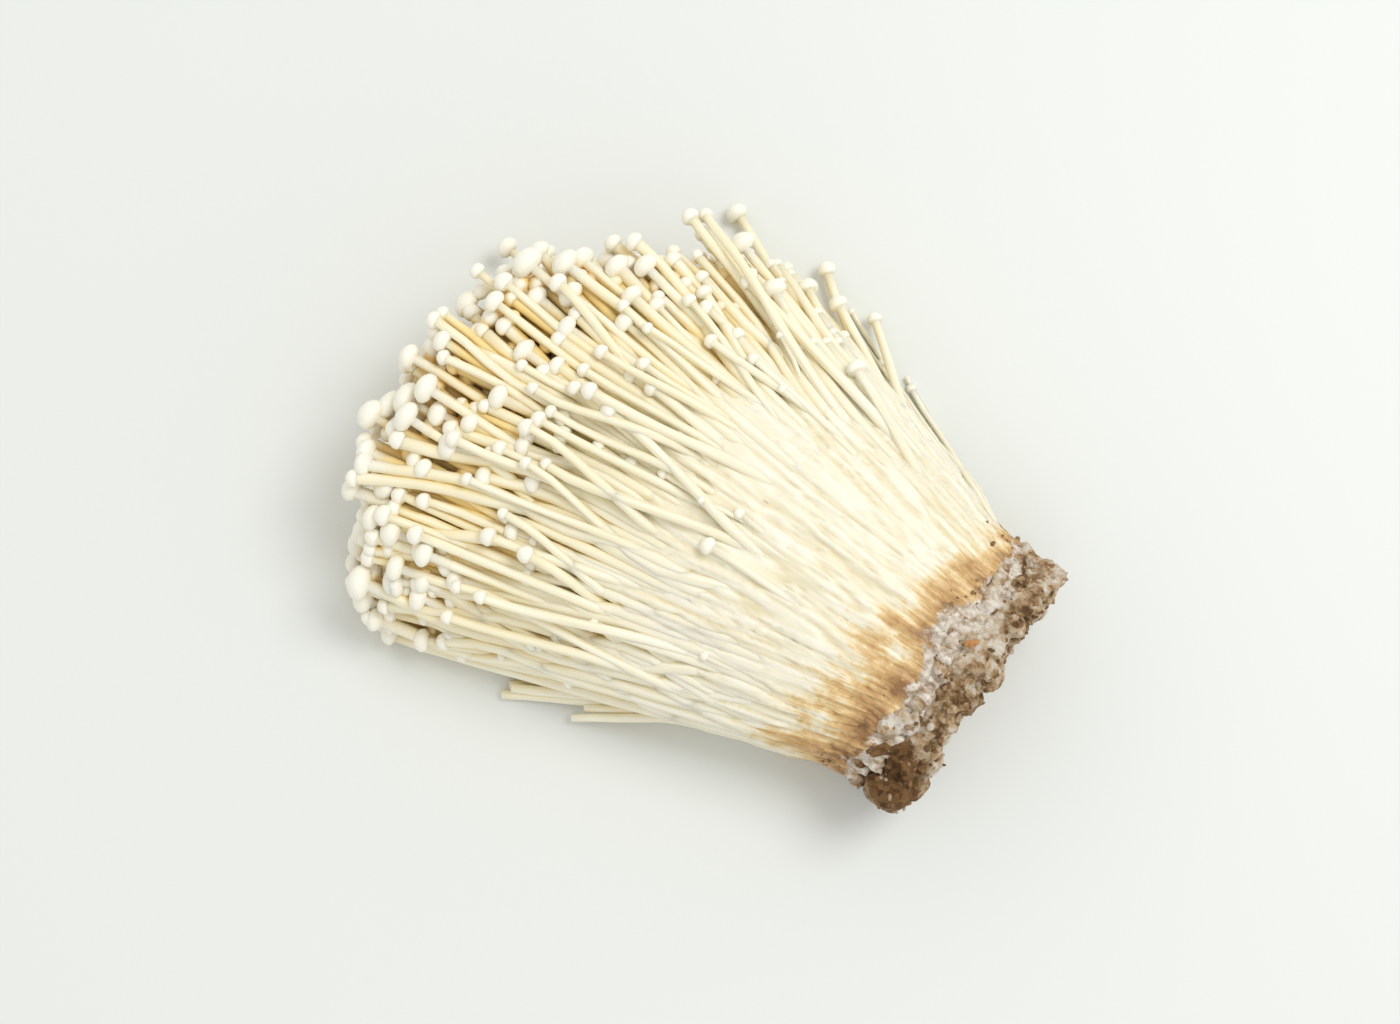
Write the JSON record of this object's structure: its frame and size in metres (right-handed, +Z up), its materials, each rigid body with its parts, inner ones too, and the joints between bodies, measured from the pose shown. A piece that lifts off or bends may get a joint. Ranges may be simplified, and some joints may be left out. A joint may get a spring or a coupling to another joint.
{
  "type": "enoki mushroom bunch",
  "caption": "Bunch of enoki mushrooms lying on its side: a crumbly substrate plug, a fused white stem base, and thin stems that fan out to small round caps.",
  "frame": {"origin": "on the surface that the bunch lies on, under the middle of its bounding box", "axes": "+X along the bunch from the substrate plug to the caps, +Y across the fan towards the side that spreads furthest, +Z up"},
  "size_m": [0.1484, 0.13, 0.045],
  "materials": {
    "mushroom_flesh": "moist, softly translucent cream-white flesh",
    "fused_flesh": "matt, fibrous cream-white flesh stained tan beside the substrate",
    "substrate": "rough, crumbly sawdust and bran with grey-white mycelium"
  },
  "bodies": {
    "root": {"cut_stem_01": "mushroom_flesh", "cut_stem_02": "mushroom_flesh", "cut_stem_03": "mushroom_flesh", "fused_stem_clump": "fused_flesh", "mushroom_01": "mushroom_flesh", "mushroom_02": "mushroom_flesh", "mushroom_03": "mushroom_flesh", "mushroom_04": "mushroom_flesh", "mushroom_05": "mushroom_flesh", "mushroom_06": "mushroom_flesh", "mushroom_07": "mushroom_flesh", "mushroom_08": "mushroom_flesh", "mushroom_09": "mushroom_flesh", "mushroom_10": "mushroom_flesh", "mushroom_11": "mushroom_flesh", "mushroom_12": "mushroom_flesh", "mushroom_13": "mushroom_flesh", "mushroom_14": "mushroom_flesh", "mushroom_15": "mushroom_flesh", "mushroom_16": "mushroom_flesh", "mushroom_17": "mushroom_flesh", "mushroom_18": "mushroom_flesh", "mushroom_19": "mushroom_flesh", "mushroom_20": "mushroom_flesh", "mushroom_21": "mushroom_flesh", "mushroom_22": "mushroom_flesh", "mushroom_23": "mushroom_flesh", "mushroom_24": "mushroom_flesh", "mushroom_25": "mushroom_flesh", "mushroom_26": "mushroom_flesh", "mushroom_27": "mushroom_flesh", "mushroom_28": "mushroom_flesh", "mushroom_29": "mushroom_flesh", "mushroom_30": "mushroom_flesh", "mushroom_31": "mushroom_flesh", "mushroom_32": "mushroom_flesh", "mushroom_33": "mushroom_flesh", "mushroom_34": "mushroom_flesh", "mushroom_35": "mushroom_flesh", "mushroom_36": "mushroom_flesh", "mushroom_37": "mushroom_flesh", "mushroom_38": "mushroom_flesh", "mushroom_39": "mushroom_flesh", "mushroom_40": "mushroom_flesh", "mushroom_41": "mushroom_flesh", "mushroom_42": "mushroom_flesh", "mushroom_43": "mushroom_flesh", "mushroom_44": "mushroom_flesh", "mushroom_45": "mushroom_flesh", "mushroom_46": "mushroom_flesh", "mushroom_47": "mushroom_flesh", "stray_mushroom_01": "mushroom_flesh", "stray_mushroom_02": "mushroom_flesh", "stray_mushroom_03": "mushroom_flesh", "stray_mushroom_04": "mushroom_flesh", "stray_mushroom_05": "mushroom_flesh", "stray_mushroom_06": "mushroom_flesh", "stray_mushroom_07": "mushroom_flesh", "substrate_plug": "substrate"}
  },
  "joints": []
}
